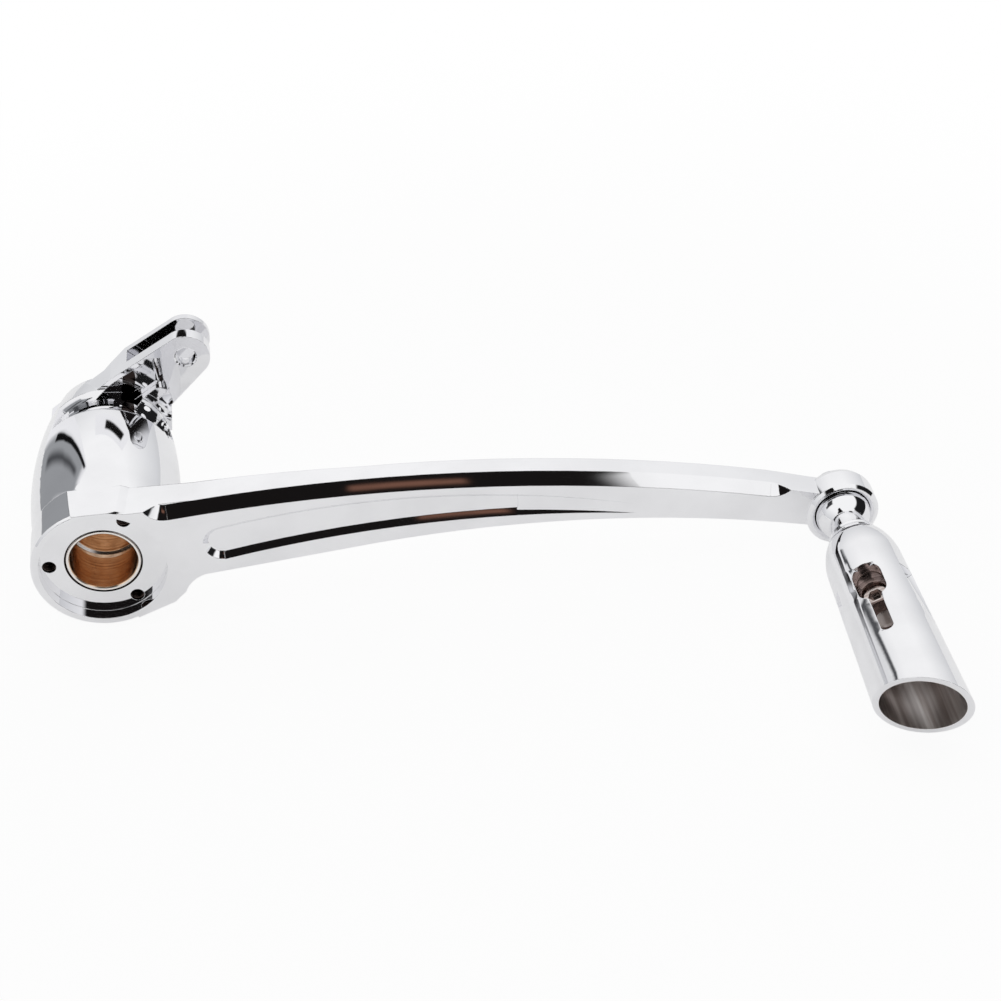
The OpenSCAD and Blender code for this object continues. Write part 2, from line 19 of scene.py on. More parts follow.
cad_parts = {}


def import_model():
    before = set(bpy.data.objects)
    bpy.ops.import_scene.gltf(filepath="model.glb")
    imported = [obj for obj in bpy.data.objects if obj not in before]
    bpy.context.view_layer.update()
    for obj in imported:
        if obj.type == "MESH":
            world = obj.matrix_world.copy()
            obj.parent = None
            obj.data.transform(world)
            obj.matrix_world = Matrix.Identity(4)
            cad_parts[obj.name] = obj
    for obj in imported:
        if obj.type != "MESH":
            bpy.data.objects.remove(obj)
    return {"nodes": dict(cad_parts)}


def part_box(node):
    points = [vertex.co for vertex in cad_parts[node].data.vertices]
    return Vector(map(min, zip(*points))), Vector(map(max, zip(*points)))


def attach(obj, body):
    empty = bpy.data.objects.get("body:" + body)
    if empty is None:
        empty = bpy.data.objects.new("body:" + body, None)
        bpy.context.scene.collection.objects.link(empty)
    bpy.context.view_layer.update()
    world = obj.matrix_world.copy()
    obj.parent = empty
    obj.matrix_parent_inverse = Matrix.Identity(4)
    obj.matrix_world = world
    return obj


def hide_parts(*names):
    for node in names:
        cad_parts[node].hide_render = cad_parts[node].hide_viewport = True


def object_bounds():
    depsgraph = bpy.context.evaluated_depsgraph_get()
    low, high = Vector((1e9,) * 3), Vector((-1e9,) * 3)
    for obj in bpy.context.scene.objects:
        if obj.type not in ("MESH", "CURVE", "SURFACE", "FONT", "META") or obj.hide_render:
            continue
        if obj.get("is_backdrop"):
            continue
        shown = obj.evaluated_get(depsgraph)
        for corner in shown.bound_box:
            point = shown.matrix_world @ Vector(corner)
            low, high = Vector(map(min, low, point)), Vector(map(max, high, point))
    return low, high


log = logging.getLogger("brake_pedal")

MM = 0.001

# The peg's axis runs along Y, through the middle of the arm's eye
PEG_X_MM = 284.9
PEG_Z_MM = -12.6
BALL_CENTRE_MM = (PEG_X_MM, -5.2, PEG_Z_MM)

# Tapped holes for the cover's screws, on a circle round the pivot's axis
SCREW_HOLES = 3
SCREW_CIRCLE_R_MM = 20.5
FIRST_SCREW_DEG = 60.0

# Noise textures stay mostly between these values
NOISE_LOW = 0.3
NOISE_HIGH = 0.7
BEVEL_SAMPLES = 6


class Body(Enum):
    """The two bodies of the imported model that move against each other."""

    ARM = "arm"
    PEG = "peg"


def linear(hex_colour: str) -> tuple[float, float, float, float]:
    """Turns an sRGB hex colour into linear light.

    Args:
        hex_colour: a colour such as "#C08552".

    Returns:
        Red, green, blue and an alpha of one.
    """
    parts = [int(hex_colour[i : i + 2], 16) / 255 for i in (1, 3, 5)]
    bent = [p / 12.92 if p <= 0.04045 else ((p + 0.055) / 1.055) ** 2.4 for p in parts]
    return (bent[0], bent[1], bent[2], 1.0)


def per(millimetres: float) -> float:
    """Gives the texture scale whose pattern repeats about once in this many millimetres."""
    return 1.0 / (millimetres * MM)


def add_node(
    tree: bpy.types.NodeTree,
    kind: str,
    settings: Mapping[str, Any] | None = None,
    inputs: Mapping[int | str, Any] | None = None,
) -> bpy.types.Node:
    """Adds one node with its settings, values and links.

    Args:
        tree: the node tree that takes the node.
        kind: Blender's name of the node type.
        settings: attributes of the node.
        inputs: for each input socket, by name or index, a value or the output socket to link.

    Returns:
        The new node.
    """
    node = tree.nodes.new(kind)
    for name, value in (settings or {}).items():
        setattr(node, name, value)
    for key, value in (inputs or {}).items():
        if isinstance(value, bpy.types.NodeSocket):
            tree.links.new(value, node.inputs[key])
        else:
            node.inputs[key].default_value = value
    return node


def set_ramp(node: bpy.types.Node, stops: Sequence[tuple[float, str]]) -> None:
    """Gives a colour ramp its stops.

    Args:
        node: the ramp.
        stops: places from 0 to 1 with an sRGB hex colour each.
    """
    elements = node.color_ramp.elements
    while len(elements) < len(stops):
        elements.new(0.5)
    for element, (place, colour) in zip(elements, stops):
        element.position = place
        element.color = linear(colour)


def new_material(name: str) -> bpy.types.Material:
    """Makes a material with an empty node tree.

    Args:
        name: its name.

    Returns:
        The material.
    """
    material = bpy.data.materials.new(name)
    material.use_nodes = True
    material.node_tree.nodes.clear()
    return material


def add_object(name: str, points: Iterable[Vector], faces: Sequence[Sequence[int]]) -> bpy.types.Object:
    """Makes a mesh and puts it into the scene.

    Args:
        name: the name of the mesh and of its object.
        points: the corners.
        faces: for each face, the numbers of its corners in order.

    Returns:
        The new object, which stands at the origin.
    """
    mesh = bpy.data.meshes.new(name)
    mesh.from_pydata(list(points), [], faces)
    item = bpy.data.objects.new(name, mesh)
    bpy.context.scene.collection.objects.link(item)
    return item


def split_round_y(
    tree: bpy.types.NodeTree,
    place: bpy.types.NodeSocket,
) -> tuple[bpy.types.NodeSocket, bpy.types.NodeSocket, bpy.types.NodeSocket]:
    """Splits a place into what it is along the Y axis and across it.

    Args:
        tree: the node tree.
        place: the place.

    Returns:
        The place's Y, its X and Z as a vector, and its distance from the axis.
    """
    parts = add_node(tree, "ShaderNodeSeparateXYZ", inputs={0: place})
    flat = add_node(tree, "ShaderNodeCombineXYZ", inputs={"X": parts.outputs["X"], "Z": parts.outputs["Z"]})
    away = add_node(tree, "ShaderNodeVectorMath", {"operation": "LENGTH"}, {0: flat.outputs["Vector"]})
    return parts.outputs["Y"], flat.outputs["Vector"], away.outputs["Value"]


@dataclass(frozen=True)
class ChromePlate:
    """Decorative chrome over polished metal: nearly white, mirror bright, faintly wavy.

    Args:
        wave_stretch: length of the polishing waves as a multiple of their width.
        edge_mm: radius with which sharp edges catch the light.
        crown_per_mm: change of slope for each millimetre across, or zero for no crown.
        crown_y_mm: middle of the crown.
        slope: direction that a crowned slope faces.
        slope_limit: cosine of the angle up to which a slope counts as facing that way.
    """

    name: str = "chrome plate over polished billet"
    colour: str = "#F2F2F4"
    haze_colour: str = "#ECECEE"
    roughness: float = 0.03
    hazed_roughness: float = 0.054
    haze_mm: float = 26.0
    wave_mm: float = 2.4
    wave_stretch: float = 14.0
    wave_height_mm: float = 0.0022
    edge_mm: float = 0.35
    crown_per_mm: float = 0.0
    crown_y_mm: float = -3.0
    slope: tuple[float, float, float] = (0.0, -0.66, 0.75)
    slope_limit: float = 0.86

    def make(self) -> bpy.types.Material:
        """Builds the material and returns it."""
        material = new_material(self.name)
        tree = material.node_tree
        place = add_node(tree, "ShaderNodeTexCoord")
        haze = add_node(tree, "ShaderNodeTexNoise", inputs={
            "Vector": place.outputs["Object"], "Scale": per(self.haze_mm), "Detail": 3.0,
        })
        colour = add_node(tree, "ShaderNodeValToRGB", inputs={"Fac": haze.outputs["Fac"]})
        set_ramp(colour, [(0.35, self.haze_colour), (0.6, self.colour)])
        rough = add_node(tree, "ShaderNodeMapRange", inputs={
            "Value": haze.outputs["Fac"], "From Min": NOISE_LOW, "From Max": NOISE_HIGH,
            "To Min": self.hazed_roughness, "To Max": self.roughness,
        })
        # Polishing runs along the arm, so the waves it leaves are long in X
        along = add_node(tree, "ShaderNodeMapping", inputs={
            "Vector": place.outputs["Object"],
            "Scale": (per(self.wave_mm * self.wave_stretch), per(self.wave_mm), per(self.wave_mm)),
        })
        waves = add_node(tree, "ShaderNodeTexNoise", inputs={
            "Vector": along.outputs["Vector"], "Scale": 1.0, "Detail": 1.0,
        })
        height = add_node(tree, "ShaderNodeMath", {"operation": "MULTIPLY"}, {
            0: waves.outputs["Fac"], 1: self.wave_height_mm * MM,
        })
        if self.crown_per_mm:
            height = self.crown(tree, place, height)
        edge = add_node(tree, "ShaderNodeBevel", {"samples": BEVEL_SAMPLES}, {"Radius": self.edge_mm * MM})
        bump = add_node(tree, "ShaderNodeBump", inputs={
            "Height": height.outputs["Value"], "Distance": 1.0,
            "Strength": 1.0, "Normal": edge.outputs["Normal"],
        })
        metal = add_node(tree, "ShaderNodeBsdfPrincipled", inputs={
            "Base Color": colour.outputs["Color"], "Metallic": 1.0,
            "Roughness": rough.outputs["Result"], "Normal": bump.outputs["Normal"],
        })
        add_node(tree, "ShaderNodeOutputMaterial", inputs={"Surface": metal.outputs["BSDF"]})
        return material

    def crown(
        self,
        tree: bpy.types.NodeTree,
        place: bpy.types.Node,
        height: bpy.types.Node,
    ) -> bpy.types.Node:
        """Adds the slight crown that polishing gives to slopes between the front and the top.

        Args:
            tree: the material's node tree.
            place: its texture coordinates.
            height: the relief so far, in metres.

        Returns:
            The node with the whole relief.
        """
        parts = add_node(tree, "ShaderNodeSeparateXYZ", inputs={0: place.outputs["Object"]})
        across = add_node(tree, "ShaderNodeMath", {"operation": "SUBTRACT"}, {
            0: parts.outputs["Y"], 1: self.crown_y_mm * MM,
        })
        squared = add_node(tree, "ShaderNodeMath", {"operation": "MULTIPLY"}, {
            0: across.outputs["Value"], 1: across.outputs["Value"],
        })
        facing = add_node(tree, "ShaderNodeNewGeometry")
        sloped = add_node(tree, "ShaderNodeVectorMath", {"operation": "DOT_PRODUCT"}, {
            0: facing.outputs["True Normal"], 1: self.slope,
        })
        there = add_node(tree, "ShaderNodeMath", {"operation": "GREATER_THAN"}, {
            0: sloped.outputs["Value"], 1: self.slope_limit,
        })
        lower = add_node(tree, "ShaderNodeMath", {"operation": "MULTIPLY"}, {
            0: squared.outputs["Value"], 1: there.outputs["Value"],
        })
        return add_node(tree, "ShaderNodeMath", {"operation": "MULTIPLY_ADD"}, {
            0: lower.outputs["Value"], 1: -self.crown_per_mm / MM / 2, 2: height.outputs["Value"],
        })


@dataclass(frozen=True)
class ArmFinish:
    """Chrome plate of the arm, darkened in its tapped holes for bare thread and painted shade, and in the
    joint round the outer bushing as painted shadow.

    Args:
        joint_end_y_mm: depth to which the joint's painted shadow reaches.
        floor_y_mm: depth from which the holes are painted dark. Nothing ends it, so three dark spots also
            show on the hub's inboard end.
    """

    chrome_plate: ChromePlate
    # Painted shade and shadow; in the holes it is also the bare thread's own dark tone
    dark_colour: str = "#2A2321"
    joint_r_mm: tuple[float, float] = (13.85, 14.75)
    joint_end_y_mm: float = 0.6
    hole_r_mm: float = 2.75
    floor_y_mm: float = 0.05

    def make(self) -> bpy.types.Material:
        """Builds the material and returns it."""
        material = self.chrome_plate.make()
        tree = material.node_tree
        metal = next(n for n in tree.nodes if n.type == "BSDF_PRINCIPLED")
        plate_colour = metal.inputs["Base Color"].links[0].from_socket
        place = add_node(tree, "ShaderNodeTexCoord")
        along, across, radius = split_round_y(tree, place.outputs["Object"])
        # The joint round the outer bushing gets painted shadow
        low, high = self.joint_r_mm
        off = add_node(tree, "ShaderNodeMath", {"operation": "SUBTRACT"}, {
            0: radius, 1: (low + high) / 2 * MM,
        })
        away = add_node(tree, "ShaderNodeMath", {"operation": "ABSOLUTE"}, {0: off.outputs["Value"]})
        ring = add_node(tree, "ShaderNodeMath", {"operation": "LESS_THAN"}, {
            0: away.outputs["Value"], 1: (high - low) / 2 * MM,
        })
        front = add_node(tree, "ShaderNodeMath", {"operation": "LESS_THAN"}, {
            0: along, 1: self.joint_end_y_mm * MM,
        })
        dark = add_node(tree, "ShaderNodeMath", {"operation": "MULTIPLY"}, {
            0: ring.outputs["Value"], 1: front.outputs["Value"],
        })
        sunk = add_node(tree, "ShaderNodeMath", {"operation": "GREATER_THAN"}, {
            0: along, 1: self.floor_y_mm * MM,
        })
        # Inside each tapped hole the plate is painted dark, for bare thread and painted shade
        for i in range(SCREW_HOLES):
            angle = math.radians(FIRST_SCREW_DEG + 360 / SCREW_HOLES * i)
            middle = Vector((math.cos(angle), 0.0, math.sin(angle))) * SCREW_CIRCLE_R_MM * MM
            gap = add_node(tree, "ShaderNodeVectorMath", {"operation": "DISTANCE"}, {
                0: across, 1: middle,
            })
            near = add_node(tree, "ShaderNodeMath", {"operation": "LESS_THAN"}, {
                0: gap.outputs["Value"], 1: self.hole_r_mm * MM,
            })
            deep = add_node(tree, "ShaderNodeMath", {"operation": "MULTIPLY"}, {
                0: near.outputs["Value"], 1: sunk.outputs["Value"],
            })
            dark = add_node(tree, "ShaderNodeMath", {"operation": "MAXIMUM"}, {
                0: dark.outputs["Value"], 1: deep.outputs["Value"],
            })
        colour = add_node(tree, "ShaderNodeMix", {"data_type": "RGBA"}, {
            0: dark.outputs["Value"], 6: plate_colour, 7: linear(self.dark_colour),
        })
        tree.links.new(colour.outputs[2], metal.inputs["Base Color"])
        return material


@dataclass(frozen=True)
class SleeveFinish:
    """Chrome plate outside the sleeve and bare reamed metal in its bore, streaked lengthwise.

    Args:
        mouth_r_mm: radius below which a place is inside the wide mouth.
        mouth_y_mm: where the wide mouth begins.
        bore_r_mm: radius below which a place is inside the bore behind the mouth.
        nose_end_y_mm: where the nose ends.
    """

    chrome_plate: ChromePlate
    bore_colour: str = "#F4EFEC"
    bore_dark: str = "#B4ABA7"
    bore_roughness: float = 0.34
    mouth_r_mm: float = 14.28
    mouth_y_mm: float = -80.6
    bore_r_mm: float = 10.6
    nose_end_y_mm: float = -33.0
    streak_mm: float = 3.4
    streak_stretch: float = 22.0
    streak_depth_mm: float = 0.12

    def make(self) -> bpy.types.Material:
        """Builds the material and returns it."""
        material = self.chrome_plate.make()
        tree = material.node_tree
        outside = next(n for n in tree.nodes if n.type == "BSDF_PRINCIPLED")
        output = next(n for n in tree.nodes if n.type == "OUTPUT_MATERIAL")
        place = add_node(tree, "ShaderNodeTexCoord")
        centred = add_node(tree, "ShaderNodeMapping", inputs={
            "Vector": place.outputs["Object"],
            "Location": (-PEG_X_MM * MM, 0.0, -PEG_Z_MM * MM),
        })
        along, _, radius = split_round_y(tree, centred.outputs["Vector"])
        # The bore widens at the mouth, so the radius that tells inside from outside does too
        wide = add_node(tree, "ShaderNodeMath", {"operation": "LESS_THAN"}, {
            0: along, 1: self.mouth_y_mm * MM,
        })
        limit = add_node(tree, "ShaderNodeMapRange", inputs={
            "Value": wide.outputs["Value"], "To Min": self.bore_r_mm * MM, "To Max": self.mouth_r_mm * MM,
        })
        narrow = add_node(tree, "ShaderNodeMath", {"operation": "LESS_THAN"}, {
            0: radius, 1: limit.outputs["Result"],
        })
        # The nose is narrow too, but it lies nearer to the arm than the bore
        deep = add_node(tree, "ShaderNodeMath", {"operation": "LESS_THAN"}, {
            0: along, 1: self.nose_end_y_mm * MM,
        })
        inside = add_node(tree, "ShaderNodeMath", {"operation": "MULTIPLY"}, {
            0: narrow.outputs["Value"], 1: deep.outputs["Value"],
        })
        # The reamer leaves streaks along the bore, so they change round the axis and hardly along it
        drawn = add_node(tree, "ShaderNodeMapping", inputs={
            "Vector": centred.outputs["Vector"],
            "Scale": (per(self.streak_mm), per(self.streak_mm * self.streak_stretch), per(self.streak_mm)),
        })
        streaks = add_node(tree, "ShaderNodeTexNoise", inputs={
            "Vector": drawn.outputs["Vector"], "Scale": 1.0, "Detail": 4.0,
        })
        colour = add_node(tree, "ShaderNodeValToRGB", inputs={"Fac": streaks.outputs["Fac"]})
        set_ramp(colour, [(0.36, self.bore_dark), (0.62, self.bore_colour)])
        bump = add_node(tree, "ShaderNodeBump", inputs={
            "Height": streaks.outputs["Fac"], "Distance": self.streak_depth_mm * MM, "Strength": 1.0,
        })
        bore = add_node(tree, "ShaderNodeBsdfPrincipled", inputs={
            "Base Color": colour.outputs["Color"], "Metallic": 1.0,
            "Roughness": self.bore_roughness, "Normal": bump.outputs["Normal"],
        })
        both = add_node(tree, "ShaderNodeMixShader", inputs={
            0: inside.outputs["Value"], 1: outside.outputs["BSDF"], 2: bore.outputs["BSDF"],
        })
        tree.links.new(both.outputs["Shader"], output.inputs["Surface"])
        return material


@dataclass(frozen=True)
class TurnedMetal:
    """Metal turned on a lathe: a warm or grey sheen with fine rings along its axis, which is Y.

    Args:
        smoothest: lowest roughness as a share of the usual one.
        roughest: highest roughness as a share of the usual one.
        rim_r_mm: radius from which the faced rim is painted pale, as a painted highlight, or none if it is
            zero.
    """

    name: str
    colour: str
    dark_colour: str
    roughness: float
    smoothest: float = 0.75
    roughest: float = 1.3
    blotch_mm: float = 6.0
    ring_mm: float = 0.9
    ring_height_mm: float = 0.006
    edge_mm: float = 0.2
    rim_r_mm: float = 0.0
    # Colour of the rim's painted highlight
    rim_highlight_colour: str = "#FFFFFF"

    def make(self) -> bpy.types.Material:
        """Builds the material and returns it."""
        material = new_material(self.name)
        tree = material.node_tree
        place = add_node(tree, "ShaderNodeTexCoord")
        along, _, radius = split_round_y(tree, place.outputs["Object"])
        # A lathe's marks are rings along the axis, drawn coarser than real so that they show
        marks = add_node(tree, "ShaderNodeTexNoise", {"noise_dimensions": "1D"}, {
            "W": along, "Scale": per(self.ring_mm), "Detail": 3.0,
        })
        blotch = add_node(tree, "ShaderNodeTexNoise", inputs={
            "Vector": place.outputs["Object"], "Scale": per(self.blotch_mm), "Detail": 4.0,
        })
        mixed = add_node(tree, "ShaderNodeMath", {"operation": "MULTIPLY"}, {
            0: marks.outputs["Fac"], 1: blotch.outputs["Fac"],
        })
        colour = add_node(tree, "ShaderNodeValToRGB", inputs={"Fac": mixed.outputs["Value"]})
        set_ramp(colour, [(0.12, self.dark_colour), (0.34, self.colour)])
        base = colour.outputs["Color"]
        # Past rim_r_mm the colour turns pale: a painted highlight for the light that the faced rim reflects
        if self.rim_r_mm:
            outer = add_node(tree, "ShaderNodeMath", {"operation": "GREATER_THAN"}, {
                0: radius, 1: self.rim_r_mm * MM,
            })
            rim = add_node(tree, "ShaderNodeMix", {"data_type": "RGBA"}, {
                0: outer.outputs["Value"], 6: base, 7: linear(self.rim_highlight_colour),
            })
            base = rim.outputs[2]
        rough = add_node(tree, "ShaderNodeMapRange", inputs={
            "Value": blotch.outputs["Fac"], "From Min": NOISE_LOW, "From Max": NOISE_HIGH,
            "To Min": self.roughness * self.smoothest, "To Max": self.roughness * self.roughest,
        })
        edge = add_node(tree, "ShaderNodeBevel", {"samples": BEVEL_SAMPLES}, {"Radius": self.edge_mm * MM})
        bump = add_node(tree, "ShaderNodeBump", inputs={
            "Height": marks.outputs["Fac"], "Distance": self.ring_height_mm * MM,
            "Strength": 1.0, "Normal": edge.outputs["Normal"],
        })
        metal = add_node(tree, "ShaderNodeBsdfPrincipled", inputs={
            "Base Color": base, "Metallic": 1.0,
            "Roughness": rough.outputs["Result"], "Normal": bump.outputs["Normal"],
        })
        add_node(tree, "ShaderNodeOutputMaterial", inputs={"Surface": metal.outputs["BSDF"]})
        return material


class RepeatedDetail:
    """Small details that repeat round an axis, made by Geometry Nodes."""

    def bake(
        self,
        tree: bpy.types.GeometryNodeTree,
        values: Mapping[str, float],
        name: str,
        body: Body,
        slot: str,
    ) -> bpy.types.Object:
        """Runs a tree once and keeps its result as a plain mesh.

        Args:
            tree: the Geometry Nodes tree.
            values: a value for each named input of the tree.
            name: the piece's name.
            body: the body that the piece moves with.
            slot: the record's material slot.

        Returns:
            slot: not used.
        """
        piece = bpy.data.objects.new(name, bpy.data.meshes.new(name))
        bpy.context.scene.collection.objects.link(piece)
        modifier = piece.modifiers.new(name, "NODES")
        modifier.node_group = tree
        for item in tree.interface.items_tree:
            if item.in_out == "INPUT" and item.name in values:
                modifier[item.identifier] = values[item.name]
        graph = bpy.context.evaluated_depsgraph_get()
        result = bpy.data.meshes.new_from_object(piece.evaluated_get(graph), depsgraph=graph)
        piece.modifiers.clear()
        piece.data = result
        result.name = name
        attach(piece, body.value)
        log.info("%s is drawn with %d faces", piece.name, len(result.polygons))
        return piece

    def new_tree(
        self,
        name: str,
        inputs: Sequence[str],
    ) -> tuple[bpy.types.GeometryNodeTree, bpy.types.Node]:
        """Starts a tree with named inputs.

        Args:
            name: the tree's name.
            inputs: names of its number inputs.

        Returns:
            The tree and its input node.
        """
        tree = bpy.data.node_groups.new(name, "GeometryNodeTree")
        for socket in inputs:
            tree.interface.new_socket(name=socket, in_out="INPUT", socket_type="NodeSocketFloat")
        tree.interface.new_socket(name="Mesh", in_out="OUTPUT", socket_type="NodeSocketGeometry")
        return tree, add_node(tree, "NodeGroupInput")

    def end_tree(
        self,
        tree: bpy.types.GeometryNodeTree,
        mesh: bpy.types.NodeSocket,
        material: bpy.types.Material,
    ) -> None:
        """Ends a tree in real geometry with its material.

        Args:
            tree: the tree.
            mesh: the output socket of the last shape.
            material: the finish of the piece.
        """
        real = add_node(tree, "GeometryNodeRealizeInstances", inputs={"Geometry": mesh})
        dressed = add_node(tree, "GeometryNodeSetMaterial", inputs={
            "Geometry": real.outputs["Geometry"], "Material": material,
        })
        add_node(tree, "NodeGroupOutput", inputs={0: dressed.outputs["Geometry"]})


@dataclass
class CoverScrewThreads(RepeatedDetail):
    """Threads in the three tapped holes on the floor of the boss's recess."""

    pitch_mm: float = 1.0
    hole_r_mm: float = 2.65
    thread_mm: float = 0.42
    turns: float = 8.0
    start_mm: float = 0.7
    steps_per_turn: int = 28
    section_sides: int = 4

    def make(self, material: bpy.types.Material) -> bpy.types.Object:
        """Builds the threads.

        Args:
            material: the finish of the threads.

        Returns:
            One piece that rides on the arm.
        """
        names = ["Hole Radius", "Thread Height", "Pitch", "Turns", "Start", "Hole Circle", "First Hole"]
        tree, given = self.new_tree("tapped hole threads", names)
        depth = add_node(tree, "ShaderNodeMath", {"operation": "MULTIPLY"}, {
            0: given.outputs["Pitch"], 1: given.outputs["Turns"],
        })
        helix = add_node(tree, "GeometryNodeCurveSpiral", inputs={
            "Resolution": self.steps_per_turn, "Rotations": given.outputs["Turns"],
            "Start Radius": given.outputs["Hole Radius"], "End Radius": given.outputs["Hole Radius"],
            "Height": depth.outputs["Value"],
        })
        section = add_node(tree, "GeometryNodeCurvePrimitiveCircle", inputs={
            "Resolution": self.section_sides, "Radius": given.outputs["Thread Height"],
        })
        thread = add_node(tree, "GeometryNodeCurveToMesh", inputs={
            "Curve": helix.outputs["Curve"], "Profile Curve": section.outputs["Curve"], "Fill Caps": True,
        })
        circle = add_node(tree, "GeometryNodeMeshCircle", inputs={
            "Vertices": SCREW_HOLES, "Radius": given.outputs["Hole Circle"],
        })
        turn = add_node(tree, "ShaderNodeCombineXYZ", inputs={"Z": given.outputs["First Hole"]})
        placed = add_node(tree, "GeometryNodeTransform", inputs={
            "Geometry": circle.outputs["Mesh"], "Rotation": turn.outputs["Vector"],
        })
        spread = add_node(tree, "GeometryNodeInstanceOnPoints", inputs={
            "Points": placed.outputs["Geometry"], "Instance": thread.outputs["Mesh"],
        })
        sunk = add_node(tree, "ShaderNodeMath", {"operation": "ADD"}, {
            0: depth.outputs["Value"], 1: given.outputs["Start"],
        })
        move = add_node(tree, "ShaderNodeCombineXYZ", inputs={"Y": sunk.outputs["Value"]})
        upright = add_node(tree, "GeometryNodeTransform", inputs={
            "Geometry": spread.outputs["Instances"], "Translation": move.outputs["Vector"],
            "Rotation": (math.radians(90), 0.0, 0.0),
        })
        self.end_tree(tree, upright.outputs["Geometry"], material)
        values = {
            "Hole Radius": self.hole_r_mm * MM, "Thread Height": self.thread_mm * MM,
            "Pitch": self.pitch_mm * MM, "Turns": self.turns, "Start": self.start_mm * MM,
            "Hole Circle": SCREW_CIRCLE_R_MM * MM, "First Hole": math.radians(FIRST_SCREW_DEG),
        }
        return self.bake(tree, values, "cover_screw_threads", Body.ARM, "plated_billet")


@dataclass
class HeadKnurling(RepeatedDetail):
    """Straight knurling round the head of a cap screw."""

    name: str = "head_knurling"
    head_d_mm: float = 10.0
    length_mm: float = 4.0
    ridge_mm: float = 0.24
    ridge_sides: int = 4
    ridges: int = 40
    centre: tuple[float, float, float] = (0.0, 0.0, 0.0)
    turn_deg: tuple[float, float, float] = (0.0, 0.0, 0.0)

    def make(self, material: bpy.types.Material, slot: str) -> bpy.types.Object:
        """Builds the knurling.

        Args:
            material: the finish of the screw.
            slot: passed on to the bake, which does not use it.

        Returns:
            One piece that rides on the peg.
        """
        tree, given = self.new_tree(self.name, ["Head Radius", "Length", "Ridge"])
        ridge = add_node(tree, "GeometryNodeMeshCylinder", {"fill_type": "NGON"}, {
            "Vertices": self.ridge_sides, "Radius": given.outputs["Ridge"],
            "Depth": given.outputs["Length"],
        })
        circle = add_node(tree, "GeometryNodeMeshCircle", inputs={
            "Vertices": self.ridges, "Radius": given.outputs["Head Radius"],
        })
        number = add_node(tree, "GeometryNodeInputIndex")
        angle = add_node(tree, "ShaderNodeMath", {"operation": "MULTIPLY"}, {
            0: number.outputs["Index"], 1: math.tau / self.ridges,
        })
        outward = add_node(tree, "ShaderNodeCombineXYZ", inputs={"Z": angle.outputs["Value"]})
        spread = add_node(tree, "GeometryNodeInstanceOnPoints", inputs={
            "Points": circle.outputs["Mesh"], "Instance": ridge.outputs["Mesh"],
            "Rotation": outward.outputs["Vector"],
        })
        placed = add_node(tree, "GeometryNodeTransform", inputs={
            "Geometry": spread.outputs["Instances"], "Translation": self.centre,
            "Rotation": tuple(math.radians(a) for a in self.turn_deg),
        })
        self.end_tree(tree, placed.outputs["Geometry"], material)
        values = {
            "Head Radius": self.head_d_mm / 2 * MM, "Length": self.length_mm * MM,
            "Ridge": self.ridge_mm * MM,
        }
        return self.bake(tree, values, self.name, Body.PEG, slot)


@dataclass
class BallStud:
    """The stud with its whole ball in view, turned from one profile about the peg's axis.

    Args:
        ball_r_mm: radius of the ball.
        back_cut_mm: depth of the flat on the ball's back, where the mount bolt seats.
        neck_r_mm: radius of the waist between ball and sleeve.
        seat_r_mm: radius of the neck inside the sleeve's nose.
        shank_r_mm: radius of the shank inside the barrel.
        neck_end_mm: end of the waist, from the ball's centre along the axis, as are the next three.
        seat_start_mm: start of the neck inside the nose.
        seat_end_mm: its end.
        shank_end_mm: end of the shank.
        steps: steps round the axis.
        arc_steps: steps along the ball's outline.
        crease_deg: angle between faces from which an edge stays sharp.
    """

    ball_r_mm: float = 10.7
    back_cut_mm: float = 1.6
    neck_r_mm: float = 7.2
    seat_r_mm: float = 7.5
    shank_r_mm: float = 5.0
    neck_end_mm: float = -14.4
    seat_start_mm: float = -15.6
    seat_end_mm: float = -27.6
    shank_end_mm: float = -64.6
    steps: int = 96
    arc_steps: int = 40
    crease_deg: float = 30.0

    def profile(self) -> list[tuple[float, float]]:
        """Gives the outline as radius and distance from the ball's centre along the axis."""
        flat = self.ball_r_mm - self.back_cut_mm
        start = math.acos(flat / self.ball_r_mm)
        end = math.pi - math.asin(self.neck_r_mm / self.ball_r_mm)
        angles = [start + (end - start) * i / self.arc_steps for i in range(self.arc_steps + 1)]
        return [
            (0.0, flat),
            *((self.ball_r_mm * math.sin(a), self.ball_r_mm * math.cos(a)) for a in angles),
            (self.neck_r_mm, self.neck_end_mm),
            (self.seat_r_mm, self.seat_start_mm),
            (self.seat_r_mm, self.seat_end_mm),
            (self.shank_r_mm, self.seat_end_mm),
            (self.shank_r_mm, self.shank_end_mm),
            (0.0, self.shank_end_mm),
        ]

    def make(self, finish: bpy.types.Material) -> bpy.types.Object:
        """Makes the piece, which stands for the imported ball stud.

        Args:
            finish: its material.

        Returns:
            The new object.
        """
        centre = Vector(BALL_CENTRE_MM)
        outline = self.profile()
        turns = [math.tau * i / self.steps for i in range(self.steps)]
        points = [(centre + Vector((radius * math.cos(t), along, radius * math.sin(t)))) * MM
                  for radius, along in outline for t in turns]
        faces = []
        for row in range(len(outline) - 1):
            here, beyond = row * self.steps, (row + 1) * self.steps
            for i in range(self.steps):
                j = (i + 1) % self.steps
                faces.append([here + i, here + j, beyond + j, beyond + i])
        piece = add_object("ball_and_neck", points, faces)
        mesh = piece.data
        shape = bmesh.new()
        shape.from_mesh(mesh)
        bmesh.ops.remove_doubles(shape, verts=shape.verts, dist=1e-6)
        bmesh.ops.recalc_face_normals(shape, faces=shape.faces)
        for face in shape.faces:
            face.smooth = True
        for edge in shape.edges:
            edge.smooth = edge.calc_face_angle(0.0) < math.radians(self.crease_deg)
        shape.to_mesh(mesh)
        shape.free()
        mesh.materials.append(finish)
        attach(piece, Body.PEG.value)
        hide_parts("ball_stud")
        log.info("%s is drawn with %d faces", piece.name, len(mesh.polygons))
        return piece


